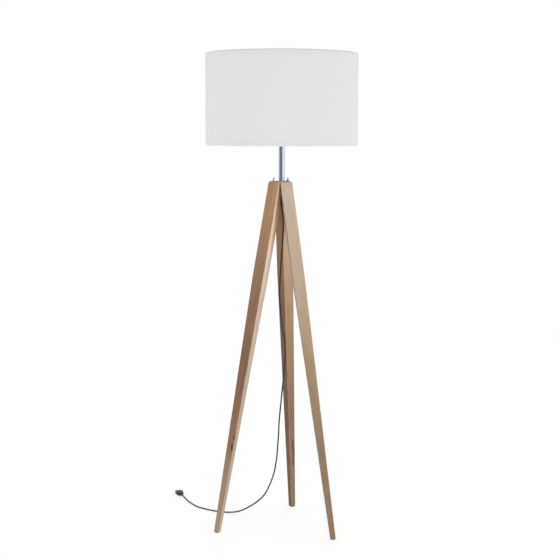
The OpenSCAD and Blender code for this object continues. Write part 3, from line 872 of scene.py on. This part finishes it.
def cover_profile(cut):
    """The cloth's outer face from hem edge to hem edge, as (radius, height) pairs.
    cut, from 0 to 1, takes away the lower hem and part of its fold, where a spider arm passes."""
    hem, fold = HEM_H - HEM_BEND, math.pi * HEM_BEND
    whole = hem + fold
    start = cut * (hem + fold * FOLD_CUT)
    low = [fold_point(start + (whole - start) * i / FOLD_STEPS) for i in range(FOLD_STEPS + 1)]
    rise = SHADE_H - 2 * HEM_BEND
    side = [(SHADE_R, HEM_BEND + rise * i / SIDE_STEPS) for i in range(1, SIDE_STEPS)]
    top = [fold_point(whole * i / FOLD_STEPS) for i in range(FOLD_STEPS, -1, -1)]
    return low + side + [(radius, SHADE_H - height) for radius, height in top]


def spider_cut(turn):
    """How far the lower hem is cut away at this direction: 1 at a spider arm, 0 clear of it."""
    near = min(abs(math.remainder(turn - arm, 2 * math.pi)) for arm in ARM_DIRS) * HEM_IN_R
    return 1 - smooth((near - ARM_GAP) / ARM_GAP)


def cloth_column(turn, past):
    """One upright line of the cloth: its points, and how far along it each lies.
    past is how far the line is beyond the first one, once the cloth has gone all the way round."""
    direction = Vector((math.cos(turn), math.sin(turn), 0))
    # the last of the cloth laps over the first, and is glued down on it
    lift = LAP_LIFT * smooth((past + LAP_RISE) / LAP_RISE)
    points, lengths = [], []
    for radius, height in cover_profile(spider_cut(turn)):
        outside = smooth((radius - HEM_IN_R) / (SHADE_R - HEM_IN_R))
        # shallow ripples in the cloth, and rims that are not quite level
        ripple = RIPPLE * mnoise.noise(Vector((turn * 9, height * 14, 3.1)))
        at = direction * (radius + (lift + ripple) * outside)
        at.z = SHADE_Z + height + RIM_WAVE * mnoise.noise(Vector((turn * 6, 0, 8.4)))
        lengths.append(lengths[-1] + (at - points[-1]).length if points else 0)
        points.append(at)
    return points, lengths


def make_cover(cols=420):
    """The shade's cover: one sheet of cloth round the lining, hemmed at both rims and lapped at the back."""
    around = 2 * math.pi + SEAM_LAP / SHADE_R
    points, uvs = [], []
    for c in range(cols + 1):
        share = c / cols
        column, lengths = cloth_column(SEAM_AT + around * share, (around * share - 2 * math.pi) * SHADE_R)
        points += column
        # measured from where the outside starts, so that threads stay level past the spider arms
        uvs += [(share * around * SHADE_R, along - lengths[FOLD_STEPS]) for along in lengths]
    faces = grid_faces(cols + 1, len(column))
    cover = piece("shade_cover", points, faces, weave(), "shade", uvs=uvs)
    thick = cover.modifiers.new("cloth", "SOLIDIFY")
    thick.thickness = CLOTH_T
    thick.offset = -1
    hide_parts("shade_fabric")
    return cover


# ---------- Floor, light and sky ----------

FLOOR_HALF = 3.2
FLOOR_GLOW = 0.58
SHADE_NODES = ["shade_liner", "shade_top_ring", "shade_bottom_ring", "spider_arms", "fitter_ring"]
KEY_AT = (2.1, -0.80, 1.95)
KEY_SIZE = (0.9, 1.3)
KEY_POWER = 52
SHADE_LIGHTS_R, SHADE_LIGHTS_Z = 2.4, 1.50
SHADE_LIGHT_SIZE = (1.9, 1.2)
SHADE_POWER = 11.5
# Heights that the lights are aimed at
LEGS_MIDDLE, SHADE_MIDDLE = 0.75, 1.43
SKY_LEVEL = 0.45
# Round the horizon as seen in reflections: 0 and 1 are behind the lamp, 0.5 is the camera's side
STUDIO_STRIPES = [
    (0.0, (0.90, 0.93, 0.98)), (0.26, (0.88, 0.92, 0.97)), (0.30, (0.19, 0.21, 0.24)),
    (0.53, (0.15, 0.17, 0.20)), (0.57, (0.60, 0.64, 0.73)), (0.66, (0.88, 0.91, 0.98)),
    (0.73, (0.72, 0.75, 0.80)), (0.83, (0.72, 0.75, 0.79)), (0.88, (1.0, 1.0, 1.0)), (1.0, (1, 1, 1)),
]


def make_floor():
    """A white floor. Its own faint light keeps it as white as the backdrop."""
    corners = [(x * FLOOR_HALF, y * FLOOR_HALF, 0) for x, y in ((-1, -1), (1, -1), (1, 1), (-1, 1))]
    data = bpy.data.meshes.new("floor")
    data.from_pydata(corners, [], [(0, 1, 2, 3)])
    k = Look("floor", Roughness=0.6, Specular_IOR_Level=0.2, Emission_Color=(1, 1, 1),
             Emission_Strength=FLOOR_GLOW)
    soft = k.noise(k.coords(), 3, 3, 0.5)
    k.set("Base Color", k.mix(soft, (0.93, 0.93, 0.93), (0.90, 0.90, 0.90)))
    data.materials.append(k.mat)
    floor = bpy.data.objects.new("floor", data)
    scene.collection.objects.link(floor)


def area_light(name, at, to, size, power, lit, tint=(1, 1, 1)):
    """A soft box that shines only on the objects in lit."""
    data = bpy.data.lights.new(name, "AREA")
    data.shape = "RECTANGLE"
    data.size, data.size_y = size
    data.energy = power
    data.color = tint
    light = bpy.data.objects.new(name, data)
    scene.collection.objects.link(light)
    light.location = at
    light.rotation_euler = (Vector(to) - Vector(at)).to_track_quat("-Z", "Y").to_euler()
    group = bpy.data.collections.new(name + "_lit")
    for obj in lit:
        group.objects.link(obj)
    light.light_linking.receiver_collection = group


def make_light():
    """The stand is lit from the right; the shade evenly, from all round."""
    shade_parts = [cover] + [nodes[n] for n in SHADE_NODES]
    stand_parts = [cord, strain, shell] + turned_parts
    stand_parts += [nodes[n] for n in nodes if n not in SHADE_NODES and n != "pole"]
    area_light("key", KEY_AT, (0, 0, LEGS_MIDDLE), KEY_SIZE, KEY_POWER, stand_parts)
    for turn in range(-80, 280, 60):
        side = Vector((math.cos(math.radians(turn)), math.sin(math.radians(turn)), 0))
        at = side * SHADE_LIGHTS_R + Vector((0, 0, SHADE_LIGHTS_Z))
        # a little stronger and cooler on the right
        power = SHADE_POWER * (1 + 0.08 * side.x)
        tint = (1 - 0.015 * side.x, 1, 1 + 0.025 * side.x)
        area_light("shade_light", at, (0, 0, SHADE_MIDDLE), SHADE_LIGHT_SIZE, power, shade_parts, tint)


def round_the_horizon(tree):
    """The striped studio: a colour for each direction round the horizon, from the camera's side."""
    where = add_node(tree, "ShaderNodeTexCoord").outputs["Generated"]
    turned = add_node(tree, "ShaderNodeMapping", {0: where, 2: (0, 0, -CAM_TURN)}).outputs[0]
    x, y, _ = add_node(tree, "ShaderNodeSeparateXYZ", {0: turned}).outputs
    toward_camera = add_node(tree, "ShaderNodeMath", {0: y, 1: -1.0}, operation="MULTIPLY").outputs[0]
    angle = add_node(tree, "ShaderNodeMath", {0: x, 1: toward_camera}, operation="ARCTAN2").outputs[0]
    share = add_node(tree, "ShaderNodeMapRange", {0: angle, 1: -math.pi, 2: math.pi}).outputs[0]
    return colour_ramp(tree, share, STUDIO_STRIPES)


def make_sky():
    """White to the camera, an even grey to the light, and a striped studio in reflections."""
    world = bpy.data.worlds.new("studio")
    scene.world = world
    world.use_nodes = True
    tree = world.node_tree
    tree.nodes.clear()
    path = add_node(tree, "ShaderNodeLightPath")
    level = (SKY_LEVEL, SKY_LEVEL, SKY_LEVEL, 1)
    studio = add_node(tree, "ShaderNodeMix", {0: path.outputs["Is Glossy Ray"], 6: level,
                                              7: round_the_horizon(tree)}, data_type="RGBA").outputs[2]
    shown = add_node(tree, "ShaderNodeMix", {0: path.outputs["Is Camera Ray"], 6: studio, 7: (1, 1, 1, 1)},
                     data_type="RGBA").outputs[2]
    back = add_node(tree, "ShaderNodeBackground", {0: shown, 1: 1.0})
    out = add_node(tree, "ShaderNodeOutputWorld")
    tree.links.new(back.outputs[0], out.inputs[0])


# ---------- The whole scene ----------

dress_legs()
zinc, nickel = dress_frame()
turned_parts = make_bolts(zinc) + [make_bulb_cap(nickel)]
cord, cord_length = make_cord()
strain, shell = make_plug()
cover = make_cover()

make_floor()
make_light()
make_sky()
scene.view_settings.view_transform = "Standard"
